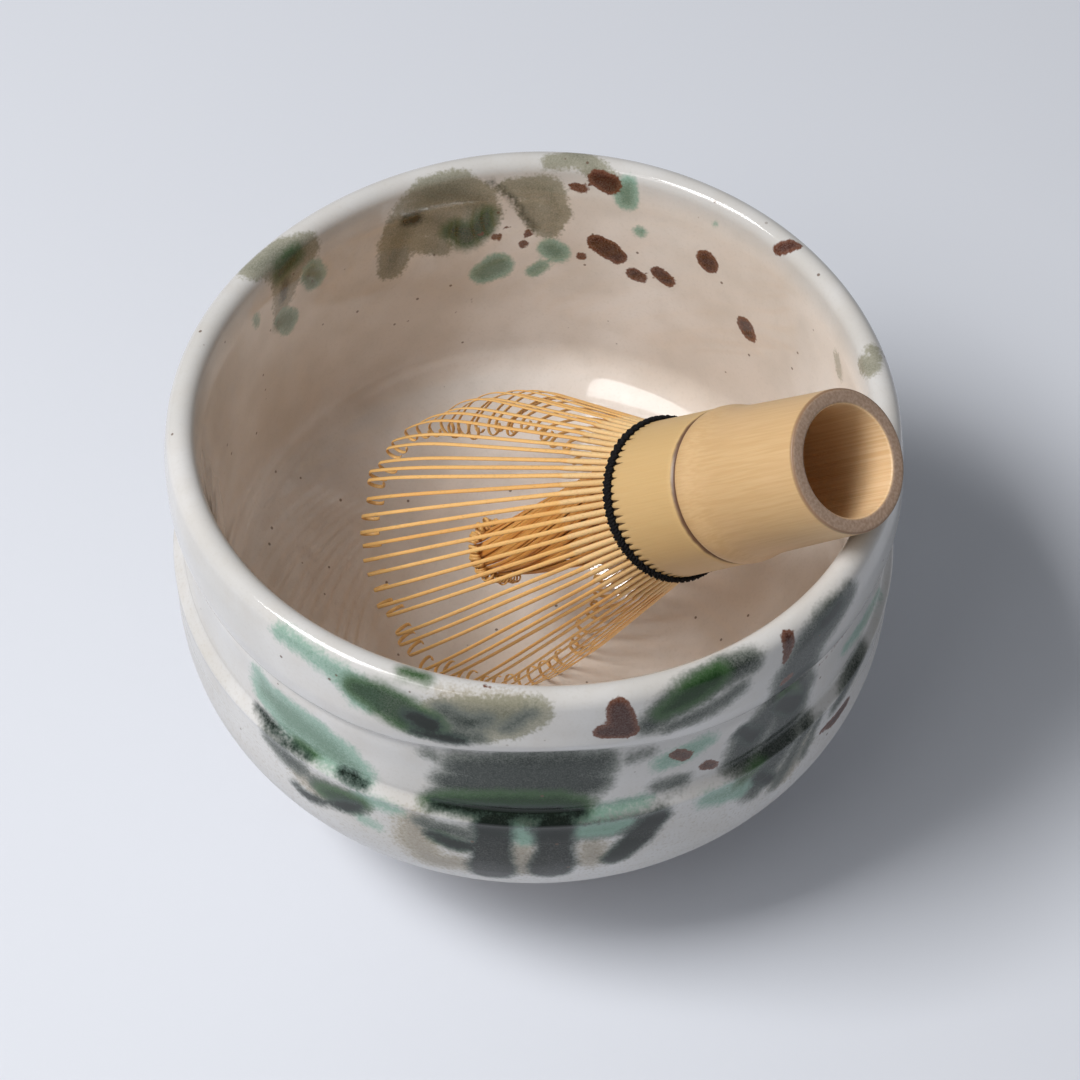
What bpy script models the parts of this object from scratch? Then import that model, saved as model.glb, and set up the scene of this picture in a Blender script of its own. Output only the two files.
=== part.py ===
"""A tea bowl with its bamboo whisk resting in it, in metres, +Z up.

The origin is the centre of the bowl's foot, on the surface that it stands on.
The whisk leans on the lip towards +X and -Y, with its tines on the bowl's floor.
"""
import math

import bmesh
import bpy
from mathutils import Matrix, Vector

# The bowl: a low cylinder on a trimmed foot, turned from one piece of clay.
BOWL_STEPS = 48
LIP_RADIUS = 0.0575          # middle of the rounded lip
LIP_HEIGHT = 0.0796
LIP_ROUND = 0.0024
BAND_RADIUS = 0.0608         # the bulging band under the lip
UPPER_LINE = 0.0672          # the throwing line under the band
WAIST_RADIUS = 0.0592        # the hollow between the two lines
LOWER_LINE = 0.0515          # the raised ledge lower down
BELLY_RADIUS = 0.0610
BELLY_HEIGHT = 0.0421        # where the wall starts to turn in
BELLY_ROUND = 0.0270
FOOT_RADIUS = 0.0290
FOOT_WIDTH = 0.0048
FOOT_TOP = 0.0118
RECESS_HEIGHT = 0.0034
INSIDE_RADIUS = 0.0540
INSIDE_TURN = 0.0410         # the inner wall is upright above this height
INSIDE_ROUND = 0.0080        # the bend from the wall into the sloping floor
FLOOR_HEIGHT = 0.0070
FLOOR_RADIUS = 0.0130        # the flat middle, where the tea gathers
FLOOR_ROUND = 0.0250
FLOOR_SLOPE = 45             # degrees
RIM_WAVE = (-0.0068, -0.0070)    # three soft corners of a rim shaped by hand
RIM_WAVE_FROM = 0.066
RIM_WAVE_FULL = 0.078

# The whisk: one bamboo culm. Distances along it run from its open end.
WHISK_END = (0.0487, -0.0221, 0.0955)
WHISK_TILT = math.radians(45.1)
WHISK_TURN = math.radians(-34.8)
HANDLE_STEPS = 32
HANDLE_LENGTH = 0.0462
END_RADIUS = 0.0115
BORE_RADIUS = 0.0089
NODE_AT = 0.0283             # the culm's joint, closed inside by a thin wall
NODE_WALL = 0.0020
NODE_RADIUS = 0.0129
GROOVE_RADIUS = 0.0124
CULM_RADIUS = 0.0132
CULM_WALL = 0.0015

THREAD_END = 0.0456          # edge of the binding nearest the tines
THREAD_RADIUS = 0.0003
THREAD_PITCH = 0.00066
THREAD_TURNS = 2
THREAD_STEPS = 24
GAP = 0.0003

STAVES = 16
TINES_PER_STAVE = 4
STAVE_ROOT = 0.0020
SLIT_ANGLE = math.radians(2.2)
TINE_WIDTHS = (0.00085, 0.00090, 0.00085, 0.00070, 0.00060, 0.00050)
TINE_THICKNESSES = (0.0011, 0.0009, 0.0008, 0.0007, 0.0005, 0.0004)
TINE_STATIONS = (0.0560, 0.0680, 0.0800, 0.0890, 0.0935, 0.0955)
TINE_RADII = (0.0160, 0.0203, 0.0246, 0.0275, 0.0281, 0.0268)

STRANDS = 8
STRAND_RADIUS = 0.0009
STRAND_POINTS = 13
STRAND_END = 0.0940
STRAND_ROOT_RADIUS = 0.0104
STRAND_ROPE_RADIUS = 0.0033
STRAND_GATHERED = 0.0640     # the strands lie together from here on
STRAND_TWIST = math.radians(200)
ROPE_LEAN = (0.0036, -0.0035)    # how far the rope's end hangs to one side of the axis

MM = 0.001


def smooth_step(value, low, high):
    share = min(max((value - low) / (high - low), 0.0), 1.0)
    return share * share * (3.0 - 2.0 * share)


def arc(centre, radius, start, end, count):
    """Points of an arc in the r, z plane, from start to end in degrees."""
    points = []
    for step in range(count + 1):
        angle = math.radians(start + (end - start) * step / count)
        points.append((centre[0] + radius * math.cos(angle), centre[1] + radius * math.sin(angle)))
    return points


def material(name, colour, roughness, coat=0.0):
    made = bpy.data.materials.new(name)
    made.use_nodes = True
    shader = made.node_tree.nodes["Principled BSDF"]
    shader.inputs["Base Color"].default_value = (*colour, 1.0)
    shader.inputs["Roughness"].default_value = roughness
    shader.inputs["Coat Weight"].default_value = coat
    return made


def keep(name, shape, finish, parent=None):
    """Make the bmesh an object of its own, with its faces pointing out."""
    bmesh.ops.recalc_face_normals(shape, faces=shape.faces)
    mesh = bpy.data.meshes.new(name)
    shape.to_mesh(mesh)
    shape.free()
    mesh.materials.append(finish)
    mesh.shade_smooth()
    mesh.set_sharp_from_angle(angle=math.radians(35))
    piece = bpy.data.objects.new(name, mesh)
    bpy.context.collection.objects.link(piece)
    piece.parent = parent
    return piece


def turned(outline, steps):
    """Spin an r, z outline once round the Z axis."""
    shape = bmesh.new()
    corners = [shape.verts.new((r, 0.0, z)) for r, z in outline]
    edges = [shape.edges.new(pair) for pair in zip(corners, corners[1:])]
    bmesh.ops.spin(shape, geom=corners + edges, cent=(0, 0, 0), axis=(0, 0, 1), angle=math.tau,
                   steps=steps, use_merge=True)
    bmesh.ops.remove_doubles(shape, verts=shape.verts, dist=1e-6)
    return shape


def bowl_outline():
    """From the middle of the foot's recess, out and up the wall, over the lip and down to the floor."""
    foot_inside = FOOT_RADIUS - FOOT_WIDTH
    points = [(0.0, RECESS_HEIGHT), (foot_inside - 1.6 * MM, RECESS_HEIGHT), (foot_inside, 1.0 * MM)]
    points += [(foot_inside + 0.6 * MM, 0.0), (FOOT_RADIUS - 0.8 * MM, 0.0), (FOOT_RADIUS, 1.0 * MM)]
    points += [(FOOT_RADIUS + 0.4 * MM, FOOT_TOP - 1.2 * MM), (FOOT_RADIUS + 1.4 * MM, FOOT_TOP)]
    points += arc((BELLY_RADIUS - BELLY_ROUND, BELLY_HEIGHT), BELLY_ROUND, -84, 0, 9)
    points += [(BELLY_RADIUS, LOWER_LINE - 3.0 * MM), (BELLY_RADIUS - 0.2 * MM, LOWER_LINE - 0.3 * MM)]
    points += [(BELLY_RADIUS - 0.7 * MM, LOWER_LINE + 0.4 * MM)]
    points += [(WAIST_RADIUS + 0.3 * MM, LOWER_LINE + 2.2 * MM)]
    points += [(WAIST_RADIUS, (UPPER_LINE + LOWER_LINE) / 2), (WAIST_RADIUS, UPPER_LINE - 0.4 * MM)]
    points += [(BAND_RADIUS - 0.5 * MM, UPPER_LINE + 1.0 * MM), (BAND_RADIUS, UPPER_LINE + 4.0 * MM)]
    points += [(BAND_RADIUS - 0.4 * MM, LIP_HEIGHT - 3.0 * MM)]
    points += arc((LIP_RADIUS, LIP_HEIGHT), LIP_ROUND, 0, 180, 8)
    points += [(INSIDE_RADIUS + 0.5 * MM, LIP_HEIGHT - 4.0 * MM), (INSIDE_RADIUS, 0.060)]
    points += arc((INSIDE_RADIUS - INSIDE_ROUND, INSIDE_TURN), INSIDE_ROUND, 0, -FLOOR_SLOPE, 4)
    points += arc((FLOOR_RADIUS, FLOOR_HEIGHT + FLOOR_ROUND), FLOOR_ROUND, -FLOOR_SLOPE, -90, 4)
    points.append((0.0, FLOOR_HEIGHT))
    return points


def make_bowl(glaze):
    shape = turned(bowl_outline(), BOWL_STEPS)
    for vertex in shape.verts:
        turn = math.atan2(vertex.co.y, vertex.co.x)
        wave = RIM_WAVE[0] * math.cos(3 * turn) + RIM_WAVE[1] * math.sin(3 * turn)
        wave *= smooth_step(vertex.co.z, RIM_WAVE_FROM, RIM_WAVE_FULL)
        vertex.co.x *= 1.0 + wave
        vertex.co.y *= 1.0 + wave
    keep("bowl_body", shape, glaze)


def make_seat():
    """The empty that carries the whisk: at its open end, with its Z axis pointing out of the bowl."""
    seat = bpy.data.objects.new("whisk_seat", None)
    seat.location = WHISK_END
    seat.rotation_euler = (0.0, WHISK_TILT, WHISK_TURN)
    bpy.context.collection.objects.link(seat)
    return seat


def make_handle(seat, bamboo):
    """The culm's joint closes the tube, so it is hollow from both ends."""
    wall_up = NODE_AT - NODE_WALL / 2
    wall_down = NODE_AT + NODE_WALL / 2
    inner = CULM_RADIUS - CULM_WALL
    along = [(0.0, wall_up), (BORE_RADIUS - 0.8 * MM, wall_up), (BORE_RADIUS, wall_up - 1.0 * MM)]
    along += [(BORE_RADIUS, 0.3 * MM), (BORE_RADIUS + 0.3 * MM, 0.0), (END_RADIUS - 0.4 * MM, 0.0)]
    along += [(END_RADIUS, 0.4 * MM), (END_RADIUS + 0.6 * MM, NODE_AT - 8.0 * MM)]
    along += [(NODE_RADIUS, NODE_AT - 2.0 * MM), (NODE_RADIUS - 0.1 * MM, NODE_AT - 0.6 * MM)]
    along += [(GROOVE_RADIUS, NODE_AT), (NODE_RADIUS - 0.1 * MM, NODE_AT + 0.7 * MM)]
    along += [(CULM_RADIUS, HANDLE_LENGTH - 2.0 * MM), (CULM_RADIUS, HANDLE_LENGTH)]
    along += [(inner, HANDLE_LENGTH), (inner - 0.4 * MM, wall_down + 1.0 * MM), (0.0, wall_down)]
    shape = turned([(r, -s) for r, s in along], HANDLE_STEPS)
    keep("whisk_handle", shape, bamboo, seat)


def tube(name, points, radius, sides, finish, seat):
    """A closed round bar along the points."""
    curve = bpy.data.curves.new(name, "CURVE")
    curve.dimensions = "3D"
    curve.bevel_depth = radius
    curve.bevel_resolution = sides
    curve.use_fill_caps = True
    spline = curve.splines.new("POLY")
    spline.points.add(len(points) - 1)
    for point, place in zip(spline.points, points):
        point.co = (*place, 1.0)
    curve.materials.append(finish)
    piece = bpy.data.objects.new(name, curve)
    bpy.context.collection.objects.link(piece)
    piece.parent = seat
    return piece


def make_thread(seat, cotton):
    points = []
    radius = CULM_RADIUS + GAP + THREAD_RADIUS
    first = THREAD_END - THREAD_RADIUS - THREAD_PITCH * THREAD_TURNS
    for step in range(THREAD_STEPS * THREAD_TURNS + 1):
        turn = math.tau * step / THREAD_STEPS
        along = first + THREAD_PITCH * step / THREAD_STEPS
        points.append((radius * math.cos(turn), radius * math.sin(turn), -along))
    tube("binding_thread", points, THREAD_RADIUS, 1, cotton, seat)


def tine_angles(number):
    """The start and end angle of each tine of one stave, seen along the culm."""
    step = math.tau / STAVES
    edge = GAP / CULM_RADIUS
    low = step * (number - 0.5) + edge / 2
    width = (step - edge - SLIT_ANGLE * (TINES_PER_STAVE - 1)) / TINES_PER_STAVE
    starts = [low + tine * (width + SLIT_ANGLE) for tine in range(TINES_PER_STAVE)]
    return [(start, start + width) for start in starts]


def make_stave(number, seat, bamboo):
    """A sixteenth of the culm's wall, cut into tines that flare out and curl in at their tips."""
    shape = bmesh.new()
    angles = [edge for tine in tine_angles(number) for edge in tine]
    root = HANDLE_LENGTH + GAP
    rows = []
    for radius in (CULM_RADIUS - CULM_WALL, CULM_RADIUS):
        row = [(radius * math.cos(angle), radius * math.sin(angle), -root) for angle in angles]
        rows.append([shape.verts.new(place) for place in row])
    cells = []
    for cell in range(len(angles) - 1):
        corners = (rows[0][cell], rows[1][cell], rows[1][cell + 1], rows[0][cell + 1])
        cells.append(shape.faces.new(corners))
    raised = bmesh.ops.extrude_face_region(shape, geom=cells)["geom"]
    lower = [item for item in raised if isinstance(item, bmesh.types.BMVert)]
    bmesh.ops.translate(shape, verts=lower, vec=(0, 0, -STAVE_ROOT))
    faces = [item for item in raised if isinstance(item, bmesh.types.BMFace)]
    faces.sort(key=lambda face: turn_of(face.calc_center_median(), angles[0]))
    grow_tines(shape, faces[::2], root + STAVE_ROOT)
    keep(f"outer_tines_{number + 1:02d}", shape, bamboo, seat)


def turn_of(place, start):
    return (math.atan2(place.y, place.x) - start + 0.01) % math.tau


def grow_tines(shape, faces, root):
    """Extrude each face along the flare, station by station."""
    path = [Vector((CULM_RADIUS - CULM_WALL / 2, 0, -root))]
    path += [Vector((r, 0, -s)) for r, s in zip(TINE_RADII, TINE_STATIONS)]
    for station in range(1, len(path)):
        after = path[min(station + 1, len(path) - 1)]
        along = (after - path[station - 1]).normalized()
        across = Vector((-along.z, 0, along.x))
        width = TINE_WIDTHS[station - 1]
        thickness = TINE_THICKNESSES[station - 1]
        grown = bmesh.ops.extrude_discrete_faces(shape, faces=faces)["faces"]
        for face in grown:
            centre = face.calc_center_median()
            turn = Matrix.Rotation(math.atan2(centre.y, centre.x), 3, "Z")
            for corner in face.verts:
                local = turn.inverted() @ corner.co
                side = math.copysign(width / 2, local.y)
                out = math.copysign(thickness / 2, local.x - (turn.inverted() @ centre).x)
                if station > 1:
                    out = math.copysign(thickness / 2, (local - path[station - 1]).dot(last_across))
                corner.co = turn @ (path[station] + across * out + Vector((0, side, 0)))
        faces = grown
        last_across = across


def make_strand(number, seat, bamboo):
    """A bunch of inner tines, gathered from the culm's wall and twisted with the others into a rope."""
    points = []
    root = HANDLE_LENGTH + GAP + STRAND_RADIUS
    for step in range(STRAND_POINTS):
        share = step / (STRAND_POINTS - 1)
        along = root + (STRAND_END - root) * share
        gathered = smooth_step(along, root, STRAND_GATHERED)
        radius = STRAND_ROOT_RADIUS + (STRAND_ROPE_RADIUS - STRAND_ROOT_RADIUS) * gathered
        turn = math.tau * number / STRANDS + STRAND_TWIST * share * share
        lean = share * share
        points.append((radius * math.cos(turn) + ROPE_LEAN[0] * lean,
                       radius * math.sin(turn) + ROPE_LEAN[1] * lean, -along))
    tube(f"inner_tines_{number + 1:02d}", points, STRAND_RADIUS, 0, bamboo, seat)


def build():
    for old in list(bpy.data.objects):
        bpy.data.objects.remove(old, do_unlink=True)
    glaze = material("cream_glaze", (0.78, 0.75, 0.66), 0.18, 0.6)
    culm = material("bamboo_culm", (0.62, 0.45, 0.27), 0.45)
    tines = material("bamboo_tines", (0.66, 0.40, 0.18), 0.5)
    cotton = material("black_cotton", (0.02, 0.018, 0.018), 0.8)
    make_bowl(glaze)
    seat = make_seat()
    make_handle(seat, culm)
    make_thread(seat, cotton)
    for number in range(STAVES):
        make_stave(number, seat, tines)
    for number in range(STRANDS):
        make_strand(number, seat, tines)


build()
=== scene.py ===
import math
import random

import bmesh
import bpy
import numpy as np
from mathutils import Matrix, Vector


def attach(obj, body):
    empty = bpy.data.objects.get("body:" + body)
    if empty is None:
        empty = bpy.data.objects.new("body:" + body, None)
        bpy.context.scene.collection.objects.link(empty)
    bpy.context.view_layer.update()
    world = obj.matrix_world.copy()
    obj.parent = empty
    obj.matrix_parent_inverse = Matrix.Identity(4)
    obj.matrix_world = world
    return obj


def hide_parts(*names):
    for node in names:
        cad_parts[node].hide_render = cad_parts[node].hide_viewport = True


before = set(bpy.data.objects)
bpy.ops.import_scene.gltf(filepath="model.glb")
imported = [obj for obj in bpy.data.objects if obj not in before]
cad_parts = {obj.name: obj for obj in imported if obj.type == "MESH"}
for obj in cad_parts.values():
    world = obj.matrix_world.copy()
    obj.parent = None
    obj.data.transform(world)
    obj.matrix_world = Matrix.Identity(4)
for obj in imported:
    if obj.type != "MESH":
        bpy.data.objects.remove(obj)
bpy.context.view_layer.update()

# Camera: above the front of the bowl, looking down into it with a long lens, turned
# a little about its own axis.
CAMERA_PLACE = Vector((0.0008, -0.3416, 0.4753))
CAMERA_TILT, CAMERA_ROLL = math.radians(38.59), math.radians(0.717)

lens = bpy.data.cameras.new("camera")
lens.lens, lens.sensor_width = 106.67, 36.0
camera = bpy.data.objects.new("camera", lens)
turned = Matrix.Rotation(CAMERA_TILT, 4, "X") @ Matrix.Rotation(CAMERA_ROLL, 4, "Z")
camera.matrix_world = Matrix.Translation(CAMERA_PLACE) @ turned
bpy.context.scene.collection.objects.link(camera)
bpy.context.scene.camera = camera

# Bowl body: one thrown stoneware bowl on a trimmed foot ring, with a rounded lip that was
# pushed a little out of round, a soft shade line under the rim band and a raised ledge
# under the waist. Height is up Z, lengths are in mm until the mesh is scaled at the end.
MM = 0.001


def arc(across, height, radius, start, end, steps=16):
    """Points of an arc in the outline's plane, from one angle to another in degrees."""
    angles = np.radians(np.linspace(start, end, steps))
    return list(zip(across + radius * np.cos(angles), height + radius * np.sin(angles)))


def fair(points, soften, longest, slack=0.006):
    """A drawn outline in even curves: its corners softened, with points only where it bends."""
    fine_step, widths = 0.1, 3
    points = np.array(points, float)
    run = np.r_[0, np.cumsum(np.hypot(*np.diff(points, axis=0).T))]
    fine = np.linspace(0, run[-1], int(run[-1] / fine_step) + 1)
    line = np.column_stack([np.interp(fine, run, points[:, k]) for k in (0, 1)])
    reach = int(round(widths / fine_step) * soften)
    weights = np.exp(-0.5 * (np.arange(-reach, reach + 1) * fine_step / soften) ** 2)
    weights /= weights.sum()
    longer = np.pad(line, ((reach, reach), (0, 0)), "reflect", reflect_type="odd")
    line = np.column_stack([np.convolve(longer[:, k], weights, "valid") for k in (0, 1)])
    kept, start = [0], 0
    for end in range(2, len(line)):
        chord = line[end] - line[start]
        between = line[start + 1 : end] - line[start]
        length = np.hypot(*chord) + 1e-9
        if np.abs(np.cross(chord, between)).max() / length > slack or length > longest:
            start = end - 1
            kept.append(start)
    return line[kept + [len(line) - 1]]


def ramp(values, low, high):
    """0 below low, 1 above high, and a smooth rise between them."""
    share = np.clip((values - low) / (high - low), 0, 1)
    return share * share * (3 - 2 * share)


# The outline from the middle of the foot, out and over the lip, to the middle of the floor.
foot = [(0, 3.4), (22.6, 3.4), (24.2, 1.0), (24.8, 0.0), (28.2, 0.0), (29.0, 1.0), (29.4, 10.6)]
foot += [(30.4, 11.8)]
belly = arc(34.0, 42.1, 27.0, -84, 0)
ledge = [(61.0, 48.3), (60.95, 50.6), (60.9, 51.3), (60.3, 52.0), (59.5, 53.4)]
waist = [(59.2, 59.0), (59.2, 66.6), (60.3, 68.2), (60.8, 71.2), (60.4, 76.6)]
lip = arc(57.5, 79.6, 2.4, 0, 180)
inside = [(54.5, 75.6), (54.0, 60.0)] + arc(46.0, 38.2, 8.0, 0, -48.9)
inside += arc(13.0, 32.0, 25.0, -48.9, -90) + [(0, 7.0)]
outline = fair(foot + belly + ledge + waist + lip + inside, soften=0.5, longest=1.1)
outline[[0, -1], 0] = 0
TURN_STEPS = 336

bowl_mesh = bmesh.new()
run_layer = bowl_mesh.verts.layers.float.new("run")
run = np.r_[0, np.cumsum(np.hypot(*np.diff(outline, axis=0).T))]
run -= run[outline[:, 1].argmax()]
corners = []
for (across, height), distance in zip(outline, run):
    corners.append(bowl_mesh.verts.new((across, 0, height)))
    corners[-1][run_layer] = distance
drawn = [bowl_mesh.edges.new(pair) for pair in zip(corners, corners[1:])]
bmesh.ops.spin(bowl_mesh, geom=corners + drawn, cent=(0, 0, 0), axis=(0, 0, 1), angle=2 * math.pi,
               steps=TURN_STEPS, use_merge=True)
bmesh.ops.remove_doubles(bowl_mesh, verts=bowl_mesh.verts, dist=0.0005)
bmesh.ops.recalc_face_normals(bowl_mesh, faces=bowl_mesh.faces)


def finished(mesh, name, place=Matrix.Identity(4)):
    """The bmesh as a smooth piece in metres, with its place in its mesh."""
    data = bpy.data.meshes.new(name)
    mesh.to_mesh(data)
    mesh.free()
    data.transform(place @ Matrix.Scale(MM, 4))
    data.polygons.foreach_set("use_smooth", [True] * len(data.polygons))
    piece = bpy.data.objects.new(name, data)
    bpy.context.scene.collection.objects.link(piece)
    return piece


spots = np.array([vert.co for vert in bowl_mesh.verts])
runs = np.array([vert[run_layer] for vert in bowl_mesh.verts])
around = np.arctan2(spots[:, 1], spots[:, 0])
degrees = np.degrees(around)
height = spots[:, 2].copy()
outer = runs < 0

# The lip is out of round, the ledge stands proud as a thin bead, the shade line is a shallow
# groove, fine turning lines are left round the lower body, and that body leans to the left.
WALL_RADIUS = 60
LEAN_LEFT = 0.4
stretch = 1 + ramp(height, 66, 78) * (-0.0068 * np.cos(3 * around) - 0.0070 * np.sin(3 * around))
bead = 0.27 * np.exp(-((height - 51.0) / 0.60) ** 2)
bead -= 0.34 * np.exp(-((height - 52.7) / 0.8) ** 2)
bead -= 0.38 * np.exp(-((height - 66.2) / 1.1) ** 2)
for level, depth in ((37.4, 0.10), (34.2, 0.14), (32.4, 0.12), (28.9, 0.08), (25.0, 0.07)):
    wander = level + 0.5 * np.sin(around + level)
    bead -= depth * np.exp(-((height - wander) / 0.35) ** 2)
stretch += np.where(outer, bead, 0) / WALL_RADIUS
spots[:, :2] *= stretch[:, None]
spots[:, 0] -= np.where(outer, LEAN_LEFT * (1 - ramp(height, 46, 62)) * ramp(height, 1, 14), 0)


def lift(angle, up):
    """How far the shade line is carried up or down there, in mm: it rises at the front."""
    rise = 3.6 * np.exp(-(((angle + 87) / 20) ** 2)) - 1.2
    return rise * np.exp(-(((up - 67) / 4.5) ** 2))


spots[:, 2] += np.where(outer, lift(degrees, height), 0)
for vert, spot in zip(bowl_mesh.verts, spots):
    vert.co = spot

bowl = finished(bowl_mesh, "bowl_thrown_body")

# Glaze marks: drops and brush strokes of copper green, iron brown and grey wash, laid on
# the raw glaze before firing. A stroke is a row of (degrees round, height, half width) in mm.
outside_marks = {
    "sand": [
        [(-107.5, 48, 2.6), (-107.5, 42, 3.4), (-105, 37, 3.2), (-100.5, 37.5, 2.8)],
        [(-91, 44.5, 2.2), (-91, 38.5, 3.0)], [(-80.5, 43.8, 2.4), (-80, 40.5, 2.8)],
        [(-126.5, 46.2, 2.6), (-124, 44.6, 2.2)], [(-123, 54, 1.6), (-121.5, 53.6, 1.4)],
        [(-103, 80, 1.8), (-98, 80, 2.2), (-93, 80.6, 2.2)], [(-47, 43, 3.0), (-43, 48, 2.2)],
    ],
    "wash": [
        [(-109, 73.4, 1.8), (-103, 72.8, 2.2), (-98, 73.4, 1.6)],
        [(-103, 78, 2.0), (-100, 76, 2.4), (-97, 77.5, 1.6)], [(-94, 76, 1.0), (-90.5, 79.5, 1.2)],
        [(-101, 63, 3.4), (-94, 63.4, 4.4), (-86, 64, 4.4), (-79.5, 65, 3.0)],
        [(-102, 58.5, 3.6), (-94, 60, 5.2), (-86, 60, 5.2), (-81, 59.5, 3.6)],
        [(-104, 54.5, 2.2), (-94, 55, 3.6), (-84, 54.5, 3.2)],
        [(-106.4, 48.2, 1.6), (-103, 47.5, 2.2), (-99, 47, 2.0)],
        [(-96, 50, 3.2), (-87, 50, 3.4), (-77, 49, 3.0), (-71, 49, 2.8)],
        [(-134, 50, 1.8), (-130.5, 48.6, 2.6), (-127.4, 48, 2.2)],
        [(-124, 46.6, 2.4), (-119, 46.6, 3.2), (-116.5, 48, 2.0)],
        [(-106.3, 64.7, 1.0), (-104.6, 64.4, 1.1)], [(-75, 64.8, 0.9), (-72, 65, 0.9)],
        [(-73, 74.6, 2.4), (-69.5, 77.4, 3.4), (-65, 79.6, 3.4), (-60, 80.6, 3.0),
         (-56.5, 80.4, 2.4)],
        [(-70, 72.8, 1.4), (-63.6, 74, 1.8), (-58.5, 76, 1.6)],
        [(-36, 78.5, 2.6), (-41, 77.5, 4.2), (-45, 76, 4.6), (-47.5, 72, 5.0), (-47, 66, 5.4),
         (-46, 61, 5.8), (-46, 56.5, 4.6)],
        [(-50, 62, 4.0), (-53.5, 58.5, 4.8), (-55.5, 54, 4.0)],
        [(-46, 55, 4.2), (-50, 51, 4.6), (-52.5, 47, 3.8), (-53.5, 44, 2.4)],
        [(-42.5, 52, 2.0), (-46.5, 45, 2.0), (-48.5, 41.5, 1.6)], [(-40, 50, 1.2), (-43, 44, 1.3)],
        [(-70, 55.2, 1.6), (-66.5, 54.6, 1.8)],
        [(-25, 52.2, 1.2), (-29, 51.4, 2.4), (-32.5, 50, 2.6), (-35, 48.6, 1.6)],
    ],
    "olive": [
        [(-103, 76.4, 4.2), (-98, 77, 4.8), (-94, 77.8, 4.4), (-90, 79.6, 3.0)],
    ],
    "mint": [
        [(-131, 79.8, 1.4), (-126, 79.8, 1.5), (-122, 79.0, 1.8), (-118, 77.6, 2.6),
         (-116, 76, 3.0)],
        [(-138, 62.5, 1.2), (-136, 58.5, 3.8), (-131, 57.4, 5.2), (-126, 56.8, 5.0),
         (-121, 55.6, 4.2), (-117.6, 54, 2.8)],
        [(-116, 49, 1.3), (-112, 49.5, 1.1), (-110, 49.5, 0.8)],
        [(-116.3, 43.3, 0.8), (-114, 42.6, 0.9)], [(-92, 48.8, 2.0), (-90.6, 47, 1.5)],
        [(-82, 48.8, 1.5), (-78, 48.6, 1.7), (-75.5, 49.4, 1.2)],
        [(-81.5, 52.3, 0.8), (-77, 52.8, 0.9), (-72.5, 52.8, 0.9)],
        [(-69.5, 61.2, 1.8), (-65.7, 61.8, 2.2), (-62.5, 62.8, 1.5)],
        [(-62, 48.8, 1.8), (-59, 48, 2.4), (-56, 46.8, 2.0)],
        [(-31, 58.8, 1.2), (-24, 57.2, 2.0), (-15, 53.8, 1.2)],
    ],
    "green": [
        [(-117, 77.2, 2.4), (-113, 76.6, 3.6), (-109, 75.2, 3.8), (-105.5, 74.4, 2.8)],
        [(-110, 82, 1.0), (-106.5, 82, 0.9)],
        [(-106, 52.8, 1.0), (-102, 54, 2.2), (-94, 55, 3.0), (-86, 55, 3.0), (-82, 54, 2.0)],
        [(-129, 52.6, 0.9), (-125.5, 52.4, 0.7)],
        [(-122.5, 45.6, 2.2), (-119, 46.2, 2.8), (-116.5, 47.4, 1.8)],
        [(-70.5, 77, 1.8), (-66.5, 79, 2.8), (-62, 80.6, 2.2)],
        [(-103.5, 44.6, 1.6), (-100, 43.6, 1.4)], [(-74.5, 43, 1.8), (-77, 39.5, 1.6)],
        [(-56, 49.5, 1.2), (-53, 51, 1.0)], [(-47, 64, 1.8), (-46, 60, 2.0)],
    ],
    "dark": [
        [(-107.5, 72.2, 1.0), (-103.4, 71.9, 1.5), (-100, 71.9, 1.1)],
        [(-108, 75, 1.6), (-105, 74.2, 2.0)],
        [(-138, 53.0, 0.6), (-134.5, 52.3, 0.8), (-130, 51.8, 0.8), (-126.4, 51.7, 0.5)],
        [(-120, 52.3, 1.0), (-118, 52.2, 1.1), (-116.2, 52, 0.7)],
        [(-105, 52.4, 0.8), (-94, 53, 1.5), (-86, 53, 1.5), (-82, 52.5, 0.9)],
        [(-128.6, 42, 1.0), (-126.2, 41, 1.3), (-123.7, 42, 1.2)],
        [(-121.5, 43.4, 1.2), (-119.5, 44.2, 1.6), (-117, 46, 1.4)],
        [(-105, 45.4, 1.2), (-101.6, 43.9, 1.7), (-98.3, 43.8, 1.5)],
        [(-95.3, 50.4, 3.1), (-95.4, 44, 2.9), (-95.6, 38, 4.0), (-95.6, 36.2, 3.8)],
        [(-86.2, 50.4, 3.1), (-86, 44, 3.0), (-86.4, 39.5, 3.8), (-86.6, 37.8, 3.6)],
        [(-70.5, 48.6, 2.2), (-73.4, 44.2, 2.8), (-76.8, 39.6, 2.2)],
        [(-48, 61.5, 2.2), (-45, 58.4, 2.4)], [(-56, 61, 1.4), (-53.5, 57.6, 1.8)],
        [(-52.5, 47.5, 1.4), (-50, 44, 1.4)], [(-42, 78, 1.6), (-38, 78.6, 1.4)],
    ],
    "brown": [
        [(-77.4, 79.8, 1.8), (-77, 77, 2.3), (-76.6, 75.2, 2.2)],
        [(-79.6, 75, 1.7), (-76, 74.2, 1.9)],
        [(-49.2, 81, 1.2), (-49.5, 78.6, 1.1), (-50.3, 76.6, 0.6)],
        [(-67.6, 62.6, 1.2), (-65.9, 61, 1.3)], [(-62.3, 56.4, 1.2), (-60.7, 55.2, 1.0)],
        [(-50, 71, 0.8), (-48.8, 71.6, 0.6)],
        [(-38.5, 45.4, 0.6), (-34.5, 44.2, 1.4), (-31, 44.4, 1.2)],
        [(-40, 63.4, 0.35), (-30, 64, 0.45), (-20, 64.2, 0.5), (-10, 64.5, 0.45)],
    ],
}
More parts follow.
